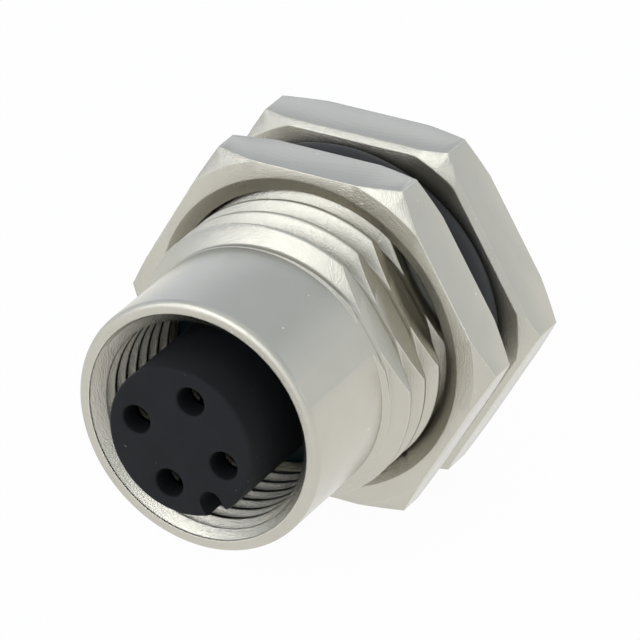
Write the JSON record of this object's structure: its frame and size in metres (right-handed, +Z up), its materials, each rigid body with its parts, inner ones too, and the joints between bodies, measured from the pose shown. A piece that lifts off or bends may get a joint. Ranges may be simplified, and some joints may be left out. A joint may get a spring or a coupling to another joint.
{
  "type": "m12 panel connector",
  "caption": "Female circular panel connector with a coupling thread inside its sleeve, an outer panel thread with a milled flat, a hex flange, a lock nut and a panel seal.",
  "frame": {"origin": "on the connector's axis, at the front face of the hex flange, which the panel lies against", "axes": "+Y back along the axis, from the mating face to the solder cups; +Z up, across an upper flat of both hexagons; +X towards a corner of both"},
  "size_m": [0.0208, 0.0251, 0.018],
  "materials": {
    "shell_plating": "bright nickel plate over turned brass",
    "nut_plating": "bright nickel plate over turned brass",
    "panel_seal_rubber": "satin black rubber",
    "mating_seal_rubber": "very dark teal rubber",
    "carrier_plastic": "matte charcoal moulding",
    "carrier_seal_rubber": "matte black rubber",
    "ring_steel": "plain spring steel",
    "contact_gold": "thin gold plate over brass"
  },
  "bodies": {
    "receptacle": {"shell": "shell_plating", "panel_seal": "panel_seal_rubber", "mating_seal": "mating_seal_rubber", "carrier": "carrier_plastic", "carrier_seal": "carrier_seal_rubber", "retaining_ring": "ring_steel", "contact_1": "contact_gold", "contact_2": "contact_gold", "contact_3": "contact_gold", "contact_4": "contact_gold"},
    "nut": {"lock_nut": "nut_plating"}
  },
  "joints": [
    {"name": "nut_travel", "type": "slide", "parent": "receptacle", "child": "nut", "axis": [0, 1, 0], "range_m": [-0.00694, 0.00035]}
  ]
}
